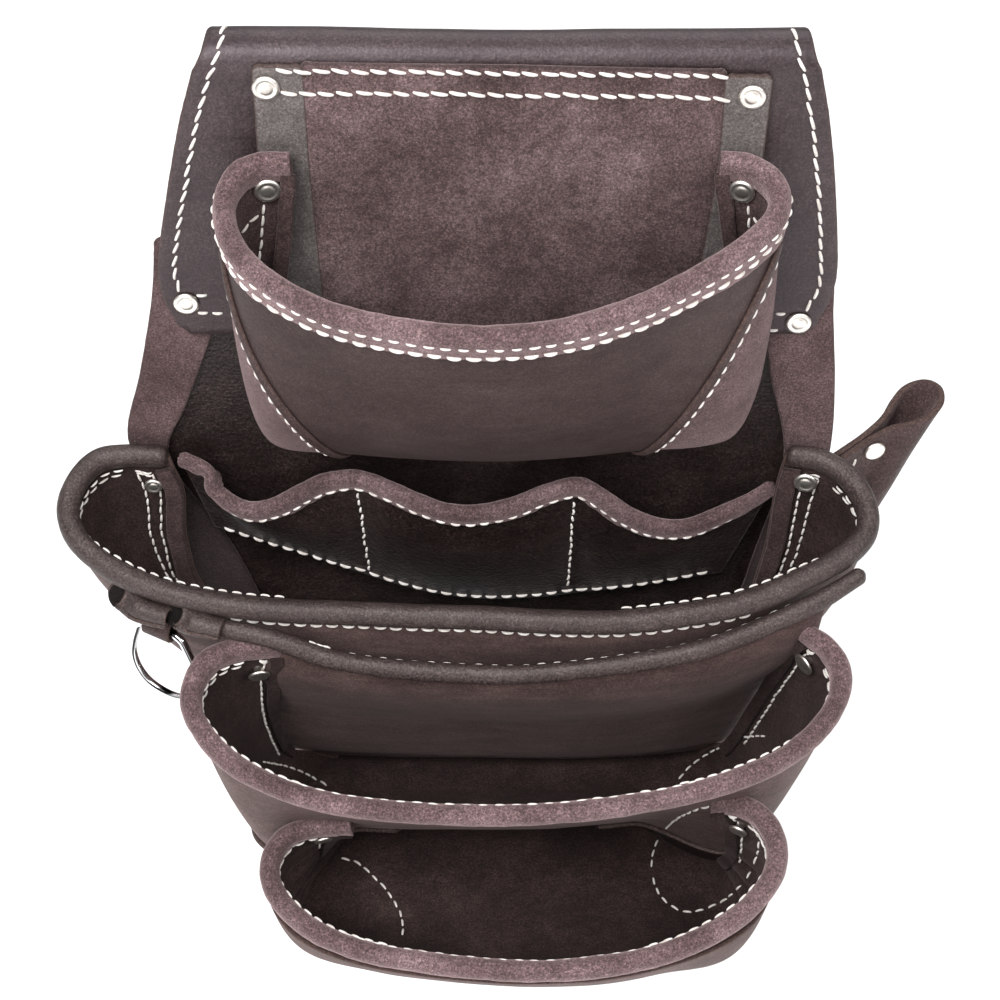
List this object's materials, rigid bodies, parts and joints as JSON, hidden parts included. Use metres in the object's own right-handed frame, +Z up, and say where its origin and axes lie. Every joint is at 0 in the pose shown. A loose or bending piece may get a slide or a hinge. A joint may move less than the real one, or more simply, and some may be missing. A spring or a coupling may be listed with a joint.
{
  "type": "electrician tool pouch",
  "caption": "Stacked leather tool pouch with a belt tunnel, open riveted pockets, a scalloped inner tool strip, rolled loops, a swinging steel hammer loop and a side holster.",
  "frame": {"origin": "rear face of the back panel, at the height of the belt's centre line and on the pouch's mid plane", "axes": "+X is the pouch's right side seen from the front, +Y points back towards the wearer, +Z is up"},
  "size_m": [0.3302, 0.1932, 0.3465],
  "materials": {
    "smooth_leather": "smooth oiled top grain, dark purple-brown, soft sheen",
    "suede_leather": "matt split suede, mottled red-brown",
    "piping_leather": "burnished rolled edge, satin",
    "thread": "off-white waxed thread",
    "rivet_nickel": "nickel plate, lightly worn",
    "loop_steel": "bright drawn wire"
  },
  "bodies": {
    "pouch": {"back_panel": "smooth_leather", "wing_left": "suede_leather", "wing_right": "suede_leather", "belt_tunnel_apron": "smooth_leather", "top_pocket_back": "suede_leather", "top_strap_left": "smooth_leather", "top_strap_right": "smooth_leather", "top_pocket_face": "smooth_leather", "top_pocket_corner_left": "suede_leather", "top_pocket_corner_right": "suede_leather", "top_pocket_binding": "suede_leather", "main_pocket_wall": "smooth_leather", "main_pocket_piping": "piping_leather", "slip_pocket_panel": "smooth_leather", "slip_pocket_piping": "piping_leather", "second_pocket_wall": "smooth_leather", "second_pocket_binding": "suede_leather", "third_pocket_wall": "smooth_leather", "third_pocket_binding": "suede_leather", "inner_tool_strip": "smooth_leather", "inner_tool_strip_rim": "suede_leather", "tool_loop_outer": "piping_leather", "tool_loop_inner": "piping_leather", "hammer_loop_keeper": "smooth_leather", "rivet_apron_left": "rivet_nickel", "rivet_apron_right": "rivet_nickel", "rivet_strap_left_upper": "rivet_nickel", "rivet_strap_right_upper": "rivet_nickel", "rivet_top_pocket_left": "rivet_nickel", "rivet_top_pocket_right": "rivet_nickel", "rivet_main_left": "rivet_nickel", "rivet_main_right": "rivet_nickel", "rivet_second_left": "rivet_nickel", "rivet_second_right": "rivet_nickel", "rivet_third_left": "rivet_nickel", "rivet_third_right": "rivet_nickel"},
    "hammer_loop": {"hammer_loop": "loop_steel"},
    "tool_holster": {"tool_holster": "smooth_leather"}
  },
  "joints": [
    {"name": "hammer_loop_swing", "type": "hinge", "parent": "pouch", "child": "hammer_loop", "pos_m": [-0.1255, -0.0648, -0.1645], "axis": [-0.88, 0.475, 0], "range_deg": [0, 85]},
    {"name": "tool_holster_flex", "type": "hinge", "parent": "pouch", "child": "tool_holster", "pos_m": [0.1208, -0.0046, -0.1588], "axis": [0.1961, 0, 0.9806], "range_deg": [-10, 12], "stiffness_Nm_per_rad": 2}
  ]
}
